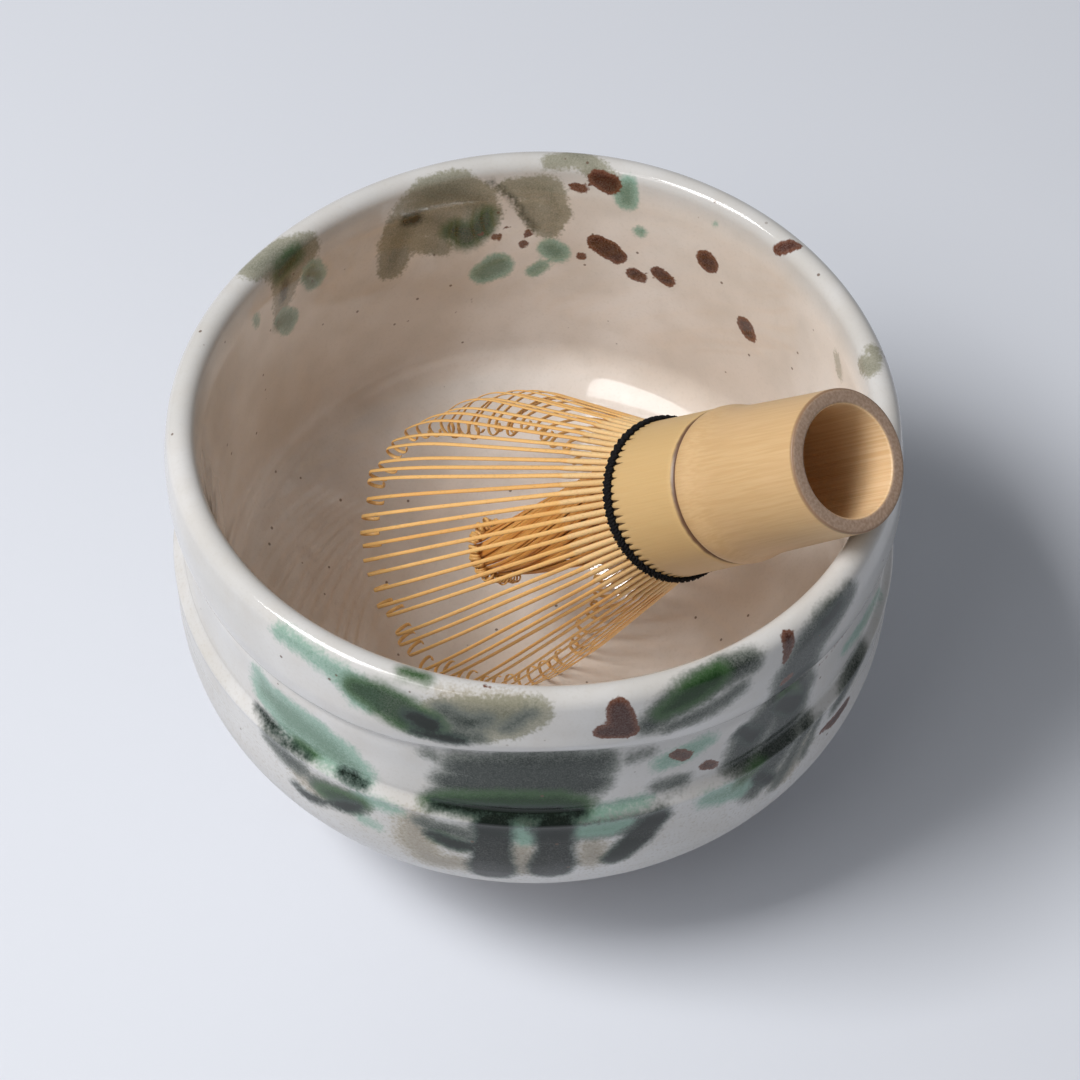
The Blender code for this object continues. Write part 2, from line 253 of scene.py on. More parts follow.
inside_marks = {
    "olive": [
        [(148, 82, 2.4), (142, 80.6, 4.2), (137, 79, 3.2)],
        [(142.5, 76.5, 4.0), (143.5, 73, 3.0), (145, 69.5, 1.6)],
        [(145, 68.2, 1.1), (143, 67, 1.4)],
        [(118.5, 64.5, 3.0), (117, 70, 4.2), (114.5, 75, 4.4), (110.5, 77.4, 4.6),
         (106, 77.6, 4.6), (102, 75, 4.2), (100.5, 70.5, 3.4)],
        [(111, 73, 3.6), (107, 70.5, 3.6)], [(112.5, 67.5, 2.2), (108.5, 65.5, 2.0)],
        [(96, 77.2, 1.6), (92.5, 76.8, 2.6), (88.5, 76.6, 2.8), (86.8, 71.5, 2.6), (88, 67, 2.0)],
        [(92, 72.5, 2.4), (89.5, 67.6, 1.8)],
        [(88, 81.6, 1.4), (83.5, 82, 2.0), (79.5, 81, 1.8), (77, 79.8, 1.4)],
        [(21, 73, 1.5), (19.5, 71, 1.4)], [(11.6, 80.9, 1.8), (10, 81.6, 1.7)],
        [(13.5, 82, 1.3), (12, 82, 1.1)],
    ],
    "mint": [
        [(136.3, 73.6, 2.6), (135.2, 71.2, 2.4)], [(144.3, 68.2, 2.0), (142.8, 65.8, 2.6)],
        [(152, 74.5, 1.0), (151.6, 73, 0.9)], [(100.6, 57.1, 2.6), (98, 58.6, 3.2)],
        [(91.1, 56.7, 1.3), (89.5, 58.2, 1.4)], [(88, 62.8, 2.3), (86.4, 61.7, 2.3)],
        [(75, 78, 2.0), (74, 76.3, 2.2), (74, 79.6, 1.6)], [(71, 69.8, 1.2)], [(56.5, 77.6, 0.5)],
    ],
    "green": [
        [(106, 69, 2.4), (103.5, 67, 3.1), (101, 68.6, 2.8), (100, 71.5, 1.8)],
        [(137, 72.8, 1.1), (136, 71, 1.2)], [(145.5, 67.6, 1.1)],
        [(139.5, 79.5, 1.8), (143.5, 78.6, 2.0)],
    ],
    "dark": [
        [(115.2, 74.4, 1.2), (113.3, 74, 1.2)], [(143, 75.5, 0.9), (144, 72.5, 0.6)],
        [(99.2, 79, 0.2), (96, 76, 0.3), (93.5, 72, 0.3), (91, 67.5, 0.3)],
    ],
    "brown": [
        [(101, 66.9, 0.6)], [(98, 65.8, 1.1)], [(96, 68, 0.6)], [(93, 63.7, 1.1)],
        [(92, 66.3, 0.9)], [(84, 77.5, 0.9), (82, 77, 0.9)],
        [(79.6, 79.6, 1.8), (77.3, 78.8, 2.2)], [(82, 61.3, 1.0)],
        [(79.1, 65.2, 2.0), (76.8, 63.9, 2.4), (75.2, 62.8, 2.0)],
        [(71.8, 59.3, 1.6), (70.3, 58.9, 1.4)], [(67, 61.3, 1.5), (65, 60.3, 1.7)],
        [(57.5, 69, 2.1), (56.8, 68.4, 2.2)], [(47.5, 58.6, 2.0), (46.5, 57.4, 1.9)],
        [(42.5, 80.4, 1.2), (41, 81.8, 1.3), (40, 82, 0.8)], [(129, 69.2, 0.45)],
        [(60, 55.6, 0.3)], [(60, 77.2, 0.35)], [(103, 50.5, 0.45)], [(116, 49, 0.35)],
        [(106, 48, 0.3)], [(-97, 81.9, 0.55)],
    ],
}
LAYERS_LAID = ("sand", "wash", "olive", "mint", "green", "dark", "brown")
BRUSHED = {"mint": 0.45}  # a thin layer outside, whose reach counts for less
CLAY_UP_TO = 12.6
ROUND = 58.0  # the radius that turns degrees round into mm
FAR = 6.0  # no point counts as further outside a stroke than this
PAST_FOOT = 5  # the outline's first points, at the middle of the foot, are left out


def reach_of(stroke, run_at):
    """How far, in mm, each point of the bowl lies inside the stroke. Outside it is below 0."""
    reach = np.full(len(runs), -FAR)
    rows = [(math.radians(angle) * ROUND, run_at(angle, up), half) for angle, up, half in stroke]
    half_turn = math.pi * ROUND
    for begin, end in zip(rows, rows[1:] or rows):
        across = (around * ROUND - begin[0] + half_turn) % (2 * math.pi * ROUND) - half_turn
        along = runs - begin[1]
        step = np.array(end) - begin
        square = step[0] ** 2 + step[1] ** 2 + 1e-9
        share = np.clip((across * step[0] + along * step[1]) / square, 0, 1)
        gap = np.hypot(across - share * step[0], along - share * step[1])
        reach = np.maximum(reach, begin[2] + share * step[2] - gap)
    return reach


top = outline[:, 1].argmax()


def outer_run(angle, up):
    """The distance along the outline from the lip's top to a height outside."""
    wall = slice(PAST_FOOT, top + 1)
    return float(np.interp(up - lift(angle, up), outline[wall, 1], run[wall]))


def inner_run(angle, up):
    """The same for a height inside, where the angle makes no difference."""
    return float(np.interp(up, outline[top:, 1][::-1], run[top:][::-1]))


for layer in LAYERS_LAID:
    reach = np.full(len(runs), -FAR)
    sides = ((outside_marks, outer_run, BRUSHED.get(layer, 1)), (inside_marks, inner_run, 1))
    for strokes, run_at, soft in sides:
        for stroke in strokes.get(layer, ()):
            reach = np.maximum(reach, reach_of(stroke, run_at) * soft)
    bowl.data.attributes.new(layer, "FLOAT", "POINT").data.foreach_set("value", reach)
bare = np.clip(np.where(outer, CLAY_UP_TO - spots[:, 2], -FAR), -FAR, FAR)
bowl.data.attributes.new("bare", "FLOAT", "POINT").data.foreach_set("value", bare)


class Shade:
    """A socket of a finish's nodes, or the finish itself. Sums on it add their Math nodes."""

    def __init__(self, tree, socket=None):
        self.tree, self.socket = tree, socket

    def node(self, kind, settings=(), inputs=(), out=0):
        """A node of that kind, with its settings, then its inputs. Gives one of its outputs."""
        made = self.tree.nodes.new("ShaderNode" + kind)
        for key, value in dict(settings).items():
            setattr(made, key, value)
        for key, value in dict(inputs).items():
            if isinstance(value, Shade):
                self.tree.links.new(value.socket, made.inputs[key])
            elif made.inputs[key].type == "RGBA":
                made.inputs[key].default_value = (*value, 1)
            else:
                made.inputs[key].default_value = value
        return Shade(self.tree, made.outputs[out] if made.outputs else None)

    def sum(self, operation, *values):
        return self.node("Math", {"operation": operation}, dict(enumerate(values)))

    def __add__(self, other):
        return self.sum("ADD", self, other)

    def __sub__(self, other):
        return self.sum("SUBTRACT", self, other)

    def __rsub__(self, other):
        return self.sum("SUBTRACT", other, self)

    def __mul__(self, other):
        return self.sum("MULTIPLY", self, other)

    __radd__, __rmul__ = __add__, __mul__

    def rise(self, low, high):
        """0 where this is below low, 1 above high, smooth between."""
        smooth = {"interpolation_type": "SMOOTHSTEP"}
        return self.node("MapRange", smooth, {"Value": self, 1: low, 2: high})

    def mix(self, first, second):
        """A colour between two, by this share."""
        return self.node("Mix", {"data_type": "RGBA"}, {"Factor": self, 6: first, 7: second}, 2)

    def grain(self, place, size, detail=2.0, stretch=None):
        """Noise from 0 to 1 with spots of about that size in mm."""
        if stretch:
            place = self.node("Mapping", (), {"Vector": place, "Scale": stretch})
        values = {"Vector": place, "Scale": 1 / (size * MM), "Detail": detail}
        return self.node("TexNoise", (), values)

    def attribute(self, name):
        """A value that the mesh carries at its points."""
        return self.node("Attribute", {"attribute_name": name}, out=2)


def new_finish(name):
    """An empty material of that name, and the Shade that its nodes are made from."""
    material = bpy.data.materials.new(name)
    material.use_nodes = True
    material.node_tree.nodes.clear()
    return material, Shade(material.node_tree)


def surface(finish, settings, inputs):
    """The finish's shader, wired to its output."""
    shader = finish.node("BsdfPrincipled", settings, inputs)
    finish.node("OutputMaterial", (), {"Surface": shader})


# Glaze finish: cream glaze with iron flecks, glossier inside than low on the outside, over
# buff clay that is left bare on the foot. Marks have crisp, soft or grainy edges by kind.
glaze_material, glaze = new_finish("cream_glaze_fired")
place = glaze.node("TexCoord", out=3)
cloud = glaze.grain(place, 26)
drift = glaze.grain(place, 7, 3)
speckle = glaze.grain(place, 0.55, 1)
fine = glaze.grain(place, 0.28, 1)
edge = glaze.grain(place, 2.2, 3) - 0.5

inner = glaze.attribute("run").rise(2, 9)
thin = inner.mix((0.575, 0.565, 0.55), (0.72, 0.645, 0.575))
full = inner.mix((0.64, 0.63, 0.62), (0.825, 0.775, 0.73))
colour = cloud.rise(0.35, 0.65).mix(thin, full)
colour = (drift.rise(0.35, 0.75) * 0.25).mix(colour, (0.50, 0.45, 0.385))
height_up = glaze.node("SeparateXYZ", (), {0: place}, 2)
low = (1 - height_up.rise(0.038, 0.060)) * (1 - inner)
grit = speckle.rise(0.48, 0.80) * (0.10 + low * 0.42)
colour = grit.mix(colour, (0.40, 0.355, 0.29))
# name, fade outside and inside the line, raggedness, grain, edge, heart, depth, cover
LAYERS = (
    ("sand", 2.0, 1.4, 1.6, 3.6, (0.33, 0.28, 0.19), (0.22, 0.175, 0.105), 3.0, 0.70),
    ("olive", 0.8, 0.5, 1.4, 1.6, (0.27, 0.26, 0.19), (0.12, 0.125, 0.075), 4.4, 0.86),
    ("wash", 1.4, 1.0, 1.6, 0.9, (0.14, 0.155, 0.135), (0.010, 0.020, 0.014), 2.8, 0.95),
    ("mint", 0.7, 0.4, 0.9, 0.7, (0.25, 0.40, 0.32), (0.10, 0.205, 0.14), 2.0, 0.90),
    ("green", 1.6, 1.0, 1.2, 0.5, (0.045, 0.105, 0.035), (0.006, 0.036, 0.004), 2.2, 0.95),
    ("dark", 1.2, 0.8, 1.2, 0.6, (0.03, 0.05, 0.04), (0.003, 0.007, 0.004), 1.1, 0.97),
    ("brown", 0.2, 0.15, 0.6, 0.5, (0.15, 0.055, 0.03), (0.055, 0.013, 0.006), 1.2, 0.96),
)
for name, fade_out, fade_in, ragged, grainy, at_edge, at_heart, depth, cover in LAYERS:
    reach = glaze.attribute(name) + edge * ragged + (speckle - 0.5) * grainy
    shade = (reach + (fine - 0.5) * depth * 0.6).rise(0, depth).mix(at_edge, at_heart)
    colour = (reach.rise(-fade_out, fade_in) * (cover - 0.12 + 0.24 * fine)).mix(colour, shade)
dots = {"Vector": place, "Scale": 1 / (4.5 * MM)}
dot = 1 - glaze.node("TexVoronoi", (), dots).rise(0.045, 0.08)
some_of_them = glaze.node("TexVoronoi", (), dots, 1).rise(0.4, 0.45)
colour = (dot * some_of_them * 0.8).mix(colour, (0.12, 0.07, 0.045))
bare = (glaze.attribute("bare") + edge * 2.2).rise(-0.25, 0.25)
clay = fine.rise(0.3, 0.7).mix((0.36, 0.25, 0.165), (0.50, 0.37, 0.26))
ripple = glaze.grain(place, 8, 1) * 0.35 + fine * 0.01
ripple = ripple + bare * speckle * 0.25
relief = glaze.node("Bump", (), {"Height": ripple, "Strength": 0.3, "Distance": 0.0005})
surface(glaze, (), {
    "Base Color": bare.mix(colour, clay),
    "Roughness": bare * 0.40 + low * 0.24 + drift * 0.07 + 0.07,
    "Coat Weight": inner * 0.95,
    "Coat Roughness": 0.04,
    "IOR": 1.41,
    "Normal": relief,
})
bowl.data.materials.append(glaze_material)
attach(bowl, "bowl")
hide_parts("bowl_body")

# Whisk handle: a length of bamboo culm with its node a little past the middle. The open
# end is sawn square, and the far end is cut into fine roots that the tines grow from.
# Its own axes: Z out of the open end, X on the side turned down; z is minus the length.
handle_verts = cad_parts["whisk_handle"].data.vertices
thread_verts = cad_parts["binding_thread"].data.vertices
handle_middle, thread_middle = [
    sum((vert.co for vert in verts), Vector()) / len(verts)
    for verts in (handle_verts, thread_verts)
]
axis = (handle_middle - thread_middle).normalized()
open_end = max((vert.co - handle_middle).dot(axis) for vert in handle_verts)
down = (Vector((0, 0, -1)) + axis * axis.z).normalized()
whisk_turn = Matrix((down, axis.cross(down), axis)).transposed().to_4x4()
whisk_place = Matrix.Translation(handle_middle + axis * open_end) @ whisk_turn

# The outline (across, length) from the node's wall out along the bore, round the open end,
# over the node, and back in at the end that the tines grow from.
culm = [(0, 27.3), (8.5, 27.3), (8.9, 26.9), (8.95, 0.35), (9.2, 0.05), (9.4, 0), (11.0, 0)]
culm += [(11.35, 0.12), (11.5, 0.45), (11.55, 4), (11.7, 9), (11.9, 15), (12.1, 20.3)]
culm += [(12.3, 22.6), (12.7, 24.6), (12.95, 25.8), (13.0, 26.8), (12.92, 27.5), (12.6, 28.0)]
culm += [(12.35, 28.25), (12.45, 28.6), (12.75, 28.85), (12.9, 29.6), (12.95, 34), (13.1, 40)]
culm += [(13.2, 44.2), (13.2, 45.9), (13.0, 46.2), (11.7, 46.2), (11.6, 30.2), (10.9, 29.3)]
culm += [(0, 29.3)]
culm = fair(culm, soften=0.14, longest=1.0, slack=0.004)
culm[[0, -1], 0] = 0
TINES = 64
STEPS_PER_TINE = 4
SLIT_FROM, SLIT_TO = 42.2, 44.4
SLIT_DEPTH = 0.5
INSIDE_THE_WALL = 12.2  # only points further across than this are on the outside

handle_mesh = bmesh.new()
corners = [handle_mesh.verts.new((across, 0, -length)) for across, length in culm]
drawn = [handle_mesh.edges.new(pair) for pair in zip(corners, corners[1:])]
bmesh.ops.spin(handle_mesh, geom=corners + drawn, cent=(0, 0, 0), axis=(0, 0, 1), angle=2 * math.pi,
               steps=TINES * STEPS_PER_TINE, use_merge=True)
bmesh.ops.remove_doubles(handle_mesh, verts=handle_mesh.verts, dist=0.0005)
bmesh.ops.recalc_face_normals(handle_mesh, faces=handle_mesh.faces)

# Each cut between the roots is a shallow notch over one line of points. Where the attribute rises
# above 0 the colour is painted shade, the dark that falls into the deep cut.
slit_shade_layer = handle_mesh.verts.layers.float.new("slit_shade")
chance = random.Random(5)
slit_starts = [SLIT_FROM + chance.uniform(-0.5, 1.3) for tine in range(TINES)]
for vert in handle_mesh.verts:
    across, length = math.hypot(vert.co.x, vert.co.y), -vert.co.z
    step = round(math.atan2(vert.co.y, vert.co.x) / (2 * math.pi) * TINES * STEPS_PER_TINE)
    tine, part = divmod(step + 1, STEPS_PER_TINE)
    start = slit_starts[tine % TINES]
    open_share = (length - start) / (SLIT_TO - start)
    vert[slit_shade_layer] = -1.0
    if across > INSIDE_THE_WALL and open_share > -0.5:
        if part == 3:
            vert[slit_shade_layer] = open_share
        elif part in (0, 2):
            vert[slit_shade_layer] = open_share - 1
        if part == 3 and open_share > 0:
            vert.co.xy *= 1 - SLIT_DEPTH * min(open_share, 1) / across
handle = finished(handle_mesh, "whisk_culm_handle", whisk_place)


def whisk_axes(finish):
    """Object coordinates turned to the whisk's own axes, so that the grain runs along it."""
    return finish.node("Mapping", {"vector_type": "TEXTURE"}, {
        "Vector": finish.node("TexCoord", out=3),
        "Location": tuple(whisk_place.translation),
        "Rotation": tuple(whisk_place.to_euler()),
    })


# Handle finish: scraped bamboo, paler past the node, with a dark groove at the node, a sawn
# end with a brown edge, a light bore, and painted shade in the slits between the roots.
culm_material, bamboo = new_finish("bamboo_culm_scraped")
place = whisk_axes(bamboo)
parts = [bamboo.node("SeparateXYZ", (), {0: place}, out) for out in (0, 1, 2)]
length = parts[2] * (-1 / MM)
across = bamboo.sum("SQRT", parts[0] * parts[0] + parts[1] * parts[1]) * (1 / MM)
streak = bamboo.grain(place, 1.0, 2, (3.0, 3.0, 0.03))
fibre = bamboo.grain(place, 1.0, 1, (8.0, 8.0, 0.06))
mottle = bamboo.grain(place, 6.0, 3, (1.0, 1.0, 0.5))
wobble = bamboo.grain(place, 3.0, 2) - 0.5
colour = streak.rise(0.3, 0.7).mix((0.60, 0.385, 0.185), (0.65, 0.435, 0.22))
colour = (fibre.rise(0.5, 0.8) * 0.22).mix(colour, (0.52, 0.32, 0.14))
colour = (mottle.rise(0.45, 0.75) * 0.3).mix(colour, (0.69, 0.46, 0.255))
past_node = length.rise(28.2, 28.8)
colour = (past_node * 0.6).mix(colour, (0.645, 0.44, 0.19))
near_node = length - 28.3 + wobble * 0.5
groove = 1 - bamboo.sum("ABSOLUTE", near_node).rise(0.30, 0.85)
colour = (groove * 0.92).mix(colour, (0.09, 0.035, 0.02))
end_face = (1 - length.rise(0.0, 0.3)) * across.rise(8.9, 9.1)
ring_grain = bamboo.grain(place, 0.5, 2)
ring = ring_grain.rise(0.3, 0.7).mix((0.30, 0.20, 0.145), (0.42, 0.30, 0.235))
colour = (end_face * 0.9).mix(colour, ring)
ring_edge = (1 - length.rise(0.25, 0.8)) * across.rise(11.05, 11.35)
colour = (ring_edge * 0.7).mix(colour, (0.16, 0.075, 0.04))
bore = (1 - across.rise(9.0, 9.2)) * (1 - length.rise(27.8, 28.2))
colour = bore.mix(colour, streak.rise(0.3, 0.7).mix((0.72, 0.47, 0.24), (0.82, 0.58, 0.34)))
# Painted shade: the notches between the roots are darkened as if shade fell deep into the cuts.
slit_shade = bamboo.attribute("slit_shade")
colour = (slit_shade.rise(-0.12, 0.10) * 0.9).mix(colour, (0.07, 0.032, 0.013))
ridges = fibre * 0.5 + streak * 0.5
relief = bamboo.node("Bump", (), {"Height": ridges, "Strength": 0.3, "Distance": 0.00012})
surface(bamboo, (), {
    "Base Color": colour,
    "Roughness": 0.42 + mottle * 0.12 + end_face * 0.25,
    "Coat Weight": 0.18 - end_face * 0.18,
    "Coat Roughness": 0.3,
    "Subsurface Weight": 0.05,
    "Subsurface Radius": (0.002, 0.001, 0.0005),
    "Normal": relief,
})
handle.data.materials.append(culm_material)
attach(handle, "whisk")
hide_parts("whisk_handle")

# Outer tines: the culm's rim split into sixty-four, shaved thin past a short thick root,
# steamed into a bell and curled in at the tips. Each CAD stave holds four of them.
STAVES = 16
PER_STAVE = TINES // STAVES
STATIONS = 44
CURL_FROM = 0.62  # the share of the stations that the straight part takes
TINE_START, SHAVED_FROM = 45.0, 56.0
ROOT_ACROSS, ROOT_LENGTH, TIP_LENGTH = 12.55, 11, 48
BENT_SIDE, FLOOR_SIDE = 145, 40  # degrees round the whisk


def split_bar(sides, stations):
    """A straight bar of half width 1 along Z from 0 to 1, cut into short lengths."""
    bar = bmesh.new()
    bmesh.ops.create_cone(bar, cap_ends=True, segments=sides, radius1=1, radius2=1, depth=1)
    half_side = Matrix.Rotation(math.pi / sides, 3, "Z")
    bmesh.ops.rotate(bar, verts=bar.verts, cent=(0, 0, 0), matrix=half_side)
    bmesh.ops.translate(bar, verts=bar.verts, vec=(0, 0, 0.5))
    long_edges = [edge for edge in bar.edges if abs(edge.verts[0].co.z - edge.verts[1].co.z) > 0.5]
    bmesh.ops.subdivide_edges(bar, edges=long_edges, cuts=stations - 2)
    data = bpy.data.meshes.new("bar")
    bar.to_mesh(data)
    bar.free()
    return data


def lay(piece, bar, centres, across, outward, halves, marks):
    """Adds the bar to the piece, bent along the centres. Halves: its half width and thickness."""
    known = len(piece.verts)
    piece.from_mesh(bar)
    piece.verts.ensure_lookup_table()
    floats = piece.verts.layers.float
    layers = {name: floats.get(name) or floats.new(name) for name in marks}
    piece.verts.ensure_lookup_table()
    for vert in piece.verts[known:]:
        at = round(vert.co.z * (len(centres) - 1))
        sideways = across[at] * (vert.co.x * halves[at][0])
        vert.co = centres[at] + sideways + outward[at] * (vert.co.y * halves[at][1])
        for name, layer in layers.items():
            vert[layer] = float(marks[name][at])


def round_axis(turn):
    """The directions outwards and sideways at that angle round the whisk's own axis."""
    cos, sin = math.cos(turn), math.sin(turn)
    return Vector((cos, sin, 0)), Vector((-sin, cos, 0))


chance = random.Random(11)
tine_bar = split_bar(8, STATIONS)
outer_pieces = []
for stave in range(STAVES):
    stave_mesh = bmesh.new()
    for part in range(PER_STAVE):
        tine = stave * PER_STAVE + part
        turn = (tine + 0.5) / TINES * 2 * math.pi
        lean = turn + math.radians(chance.gauss(0, 0.9))
        bell = math.exp(-((math.degrees(turn) - BENT_SIDE) / 42) ** 2)
        off_floor = (math.degrees(turn) + (180 - FLOOR_SIDE)) % 360 - 180
        press = math.exp(-(off_floor / 50) ** 2)
        flare = math.radians(18.0 + 0.6 * bell - 1.3 * press + chance.gauss(0, 0.35))
        straight = 54.0 + 1.5 * bell - 1.2 * press + chance.gauss(0, 0.35)
        curl = 1.5 + chance.uniform(-0.2, 0.25)
        sweep = math.radians(235 + chance.uniform(-35, 40))

        # How far along, and which way: a short bend at the root, the flare, the curled tip.
        spots = []
        for row in range(STATIONS):
            share = row / (STATIONS - 1)
            if share < CURL_FROM:
                gone = share / CURL_FROM * straight
                stoop = math.radians(4 + 53 * bell + 10 * press)
                stoop *= float(ramp(gone, 34, straight + 5))
                spots.append((gone, flare * float(ramp(gone, 0.0, 3.0)) - stoop))
            else:
                gone = (share - CURL_FROM) / (1 - CURL_FROM)
                before = spots[int(CURL_FROM * (STATIONS - 1))][1]
                spots.append((straight + gone * sweep * curl, before - sweep * gone))
        across_now, length_now, rows = ROOT_ACROSS, TINE_START, []
        for (gone, heading), (next_gone, next_heading) in zip(spots, spots[1:] + spots[-1:]):
            rows.append((across_now, length_now, heading, gone))
            middle = (heading + next_heading) / 2
            across_now += (next_gone - gone) * math.sin(middle)
            length_now += (next_gone - gone) * math.cos(middle)
        centres, sides, outs, halves, alongs = [], [], [], [], []
        for across_at, length_at, heading, gone in rows:
            thin, root = min(gone / TIP_LENGTH, 1), min(gone / ROOT_LENGTH, 1)
            radial, side = round_axis(turn + (lean - turn) * thin)
            out = radial * math.cos(heading) - Vector((0, 0, -1)) * math.sin(heading)
            shaved = float(ramp(TINE_START + gone, SHAVED_FROM - 0.5, SHAVED_FROM + 0.5))
            half_wide = 0.58 - 0.07 * root - 0.06 * shaved - 0.10 * thin
            half_thick = 0.62 - 0.22 * root - 0.17 * shaved - 0.12 * thin
            skin = radial * across_at - Vector((0, 0, length_at))
            centres.append(skin - out * (half_thick - 0.1))
            outs.append(out)
            sides.append(side)
            halves.append((half_wide, half_thick))
            alongs.append(gone)
        marks = {"along": alongs, "tone": [chance.random()] * STATIONS}
        lay(stave_mesh, tine_bar, centres, sides, outs, halves, marks)
    bmesh.ops.recalc_face_normals(stave_mesh, faces=stave_mesh.faces)
    piece = finished(stave_mesh, f"outer_stave_{stave + 1:02d}", whisk_place)
    outer_pieces.append((piece, f"outer_tines_{stave + 1:02d}"))

# Outer tines' finish: pale at the thick roots, then orange where they are shaved, with fine
# dark fibres. Each tine has its own tone.
tine_material, shaved = new_finish("bamboo_tines_shaved")
place = whisk_axes(shaved)
along, tone = shaved.attribute("along"), shaved.attribute("tone")
fibre = shaved.grain(place, 1.0, 2, (5.0, 5.0, 0.25))
tan = tone.mix((0.72, 0.46, 0.20), (0.80, 0.55, 0.27))
orange = tone.mix((0.74, 0.40, 0.125), (0.82, 0.50, 0.19))
colour = along.rise(10.4, 11.4).mix(tan, orange)
colour = (along.rise(44, 50) * 0.5).mix(colour, (0.66, 0.40, 0.14))
colour = (fibre.rise(0.5, 0.8) * 0.45).mix(colour, (0.40, 0.21, 0.07))
surface(shaved, (), {
    "Base Color": colour,
    "Roughness": 0.38 + fibre * 0.2,
    "Coat Weight": 0.12,
    "Coat Roughness": 0.25,
    "Subsurface Weight": 0.12,
    "Subsurface Radius": (0.0012, 0.0006, 0.0003),
    "Normal": shaved.node("Bump", (), {"Height": fibre, "Strength": 0.3, "Distance": 0.0001}),
})
for piece, node in outer_pieces:
    piece.data.materials.append(tine_material)
    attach(piece, "whisk")
    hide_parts(node)

# Inner tines: the inner halves of the splits, gathered to the middle and twisted into a
# hollow rope whose tips curl over into a knot. Each CAD strand holds eight of them.
STRANDS = 8
PER_STRAND = TINES // STRANDS
ROPE_STATIONS = 48
KNOT_FROM = 0.78  # the share of the stations before the tips curl over
ROPE_START, ROPE_LENGTH = 45.0, 48.0
TILT_X, TILT_Y = 0.9, 4.8  # how far the rope hangs off the whisk's axis, in mm
inner_material, twisted = new_finish("bamboo_tines_inner")
place = whisk_axes(twisted)
along, tone = twisted.attribute("along"), twisted.attribute("tone")
fibre = twisted.grain(place, 1.0, 2, (5.0, 5.0, 0.25))
colour = tone.mix((0.68, 0.29, 0.06), (0.84, 0.44, 0.12))
colour = (along.rise(38, 43) * 0.7).mix(colour, (0.84, 0.54, 0.20))
colour = (fibre.rise(0.5, 0.8) * 0.45).mix(colour, (0.30, 0.13, 0.045))
surface(twisted, (), {
    "Base Color": colour,
    "Roughness": 0.42 + fibre * 0.2,
    "Coat Weight": 0.1,
    "Subsurface Weight": 0.12,
    "Subsurface Radius": (0.0012, 0.0006, 0.0003),
})
chance = random.Random(23)
rope_bar = split_bar(6, ROPE_STATIONS)
for strand in range(STRANDS):
    strand_mesh = bmesh.new()
    for part in range(PER_STRAND):
        turn = (strand * PER_STRAND + part) / TINES * 2 * math.pi
        turn += math.radians(chance.gauss(0, 1.5))
        hollow = chance.uniform(-0.7, 0.3)
        curl = chance.uniform(0.85, 1.25)
        tone = [chance.random()] * ROPE_STATIONS
        spots = []
        for row in range(ROPE_STATIONS):
            share = row / (ROPE_STATIONS - 1)
            gone = min(share / KNOT_FROM, 1)
            length_at = ROPE_START + ROPE_LENGTH * gone
            across_at = 10.9 - 6.9 * gone ** 0.8 + hollow * gone
            way = turn + math.radians(70) * gone ** 1.3
            lean = 0.8 * float(ramp(length_at, 50, 92))
            if share > KNOT_FROM:
                knotted = (share - KNOT_FROM) / (1 - KNOT_FROM)
                bend = knotted * math.radians(265)
                across_at += curl * (1 - math.cos(bend))
                length_at += curl * math.sin(bend)
                way += math.radians(14) * knotted
            hang = Vector((TILT_X * lean, -TILT_Y * lean, -length_at))
            spots.append(round_axis(way)[0] * across_at + hang)
        after, before = spots[1:] + spots[-1:], spots[:1] + spots[:-1]
        headings = [(end - begin).normalized() for begin, end in zip(before, after)]
        outs = []
        for spot, heading in zip(spots, headings):
            lean = 0.8 * float(ramp(-spot.z, 50, 92))
            radial = Vector((spot.x - TILT_X * lean, spot.y + TILT_Y * lean, 0))
            outs.append((radial - heading * radial.dot(heading)).normalized())
        sides = [heading.cross(out) for heading, out in zip(headings, outs)]
        thins = [k / (ROPE_STATIONS - 1) for k in range(ROPE_STATIONS)]
        halves = [(0.53 - 0.21 * thin, 0.24 - 0.08 * thin) for thin in thins]
        marks = {"along": [50 * thin for thin in thins], "tone": tone}
        lay(strand_mesh, rope_bar, spots, sides, outs, halves, marks)
    bmesh.ops.recalc_face_normals(strand_mesh, faces=strand_mesh.faces)
    piece = finished(strand_mesh, f"inner_strand_{strand + 1:02d}", whisk_place)
    piece.data.materials.append(inner_material)
    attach(piece, "whisk")
    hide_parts(f"inner_tines_{strand + 1:02d}")

# Binding thread: black two-ply cotton wound three times round the roots of the tines,
# dipping between them. It holds the outer tines apart.
WINDINGS, THREAD_STATIONS = 3, 1153
TWISTS = 70  # radians that the two plies twist for each radian round the whisk
PLY_AT = 0.22  # how far each ply lies from the thread's own middle, in mm
thread_mesh = bmesh.new()
thread_bar = split_bar(6, THREAD_STATIONS)
for ply in (0, 1):
    spots, outs = [], []
    for row in range(THREAD_STATIONS):
        share = row / (THREAD_STATIONS - 1)
        turn = share * WINDINGS * 2 * math.pi + 0.6
        wave = math.cos(TINES * turn + (math.pi if int(share * WINDINGS) % 2 else 0))
        twist = turn * TWISTS + math.pi * ply
        radial = round_axis(turn)[0]
        across_at = 13.50 + 0.12 * wave + PLY_AT * math.cos(twist)
        length_at = 44.25 + 1.25 * share + PLY_AT * math.sin(twist) + 0.08 * wave
        spots.append(radial * across_at - Vector((0, 0, length_at)))
        outs.append(radial)
    ups = [Vector((0, 0, 1))] * THREAD_STATIONS
    lay(thread_mesh, thread_bar, spots, ups, outs, [(0.33, 0.31)] * THREAD_STATIONS, {})
bmesh.ops.recalc_face_normals(thread_mesh, faces=thread_mesh.faces)
thread = finished(thread_mesh, "binding_cotton", whisk_place)
thread_material, cotton = new_finish("black_cotton_thread")
place = cotton.node("TexCoord", out=3)
fuzz = cotton.grain(place, 0.12, 2)
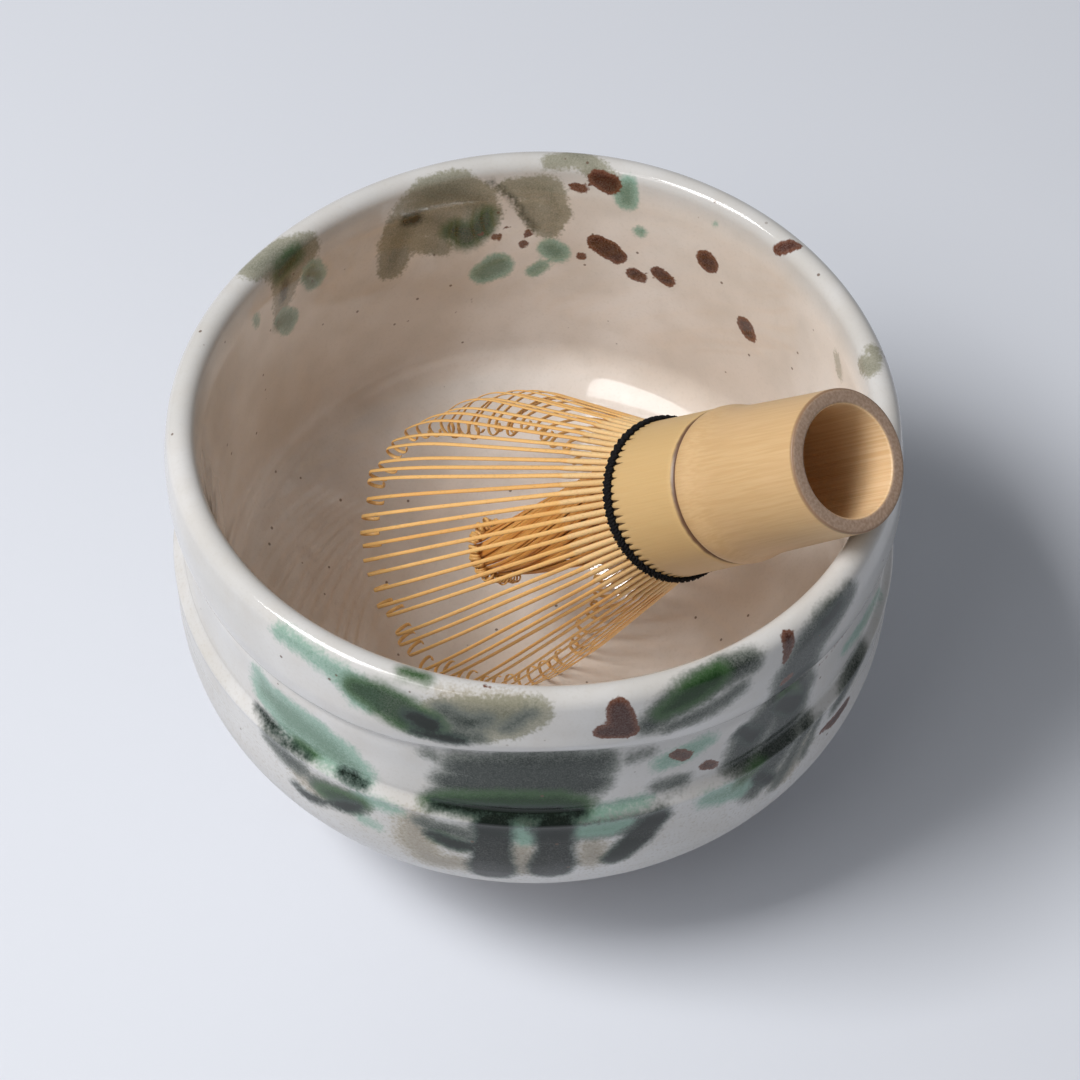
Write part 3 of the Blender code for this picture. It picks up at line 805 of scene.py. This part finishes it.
surface(cotton, (), {
    "Base Color": fuzz.rise(0.4, 0.75).mix((0.004, 0.004, 0.005), (0.020, 0.019, 0.021)),
    "Roughness": 0.75 + fuzz * 0.2,
    "Specular IOR Level": 0.15,
    "Normal": cotton.node("Bump", (), {"Height": fuzz, "Strength": 0.6, "Distance": 0.0001}),
})
thread.data.materials.append(thread_material)
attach(thread, "whisk")
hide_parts("binding_thread")

# Stage: a wide pale table top, a soft window on the left with a fainter one nearer the front,
# and dim daylight from the room.
TABLE_REACH = 3000
table_mesh = bmesh.new()
bmesh.ops.create_grid(table_mesh, x_segments=2, y_segments=2, size=TABLE_REACH)
table = finished(table_mesh, "table_top")
table_material, painted = new_finish("pale_table")
sheen = painted.grain(painted.node("TexCoord", out=3), 300, 2)
pale = sheen.mix((0.685, 0.71, 0.77), (0.71, 0.735, 0.795))
surface(painted, (), {"Base Color": pale, "Roughness": 0.6})
table.data.materials.append(table_material)
LIT_MIDDLE = Vector((0, 0, 0.05))
WINDOW_DISTANCE = 1.2
WINDOW_COLOUR = (1.0, 0.99, 0.98)


def softbox(name, azimuth, elevation, size, power):
    """A rectangular area light that faces the bowl from that direction, in degrees."""
    light = bpy.data.lights.new(name, "AREA")
    light.shape, light.energy, light.color = "RECTANGLE", power, WINDOW_COLOUR
    light.size, light.size_y = size
    shine = bpy.data.objects.new(name, light)
    azimuth, elevation = math.radians(azimuth), math.radians(elevation)
    level = math.cos(elevation)
    way = Vector((math.cos(azimuth) * level, math.sin(azimuth) * level, math.sin(elevation)))
    turned = way.to_track_quat("Z", "Y").to_matrix().to_4x4()
    shine.matrix_world = Matrix.Translation(LIT_MIDDLE + way * WINDOW_DISTANCE) @ turned
    bpy.context.scene.collection.objects.link(shine)


softbox("window", -162, 57, (0.50, 0.34), 12.3)
softbox("far_window", -137, 48, (0.72, 0.26), 2.5)
world = bpy.data.worlds.new("room")
world.use_nodes = True
daylight = world.node_tree.nodes["Background"].inputs
daylight["Color"].default_value = (0.94, 0.965, 1.0, 1)
daylight["Strength"].default_value = 0.225
bpy.context.scene.world = world
bpy.context.scene.view_settings.view_transform = "Standard"
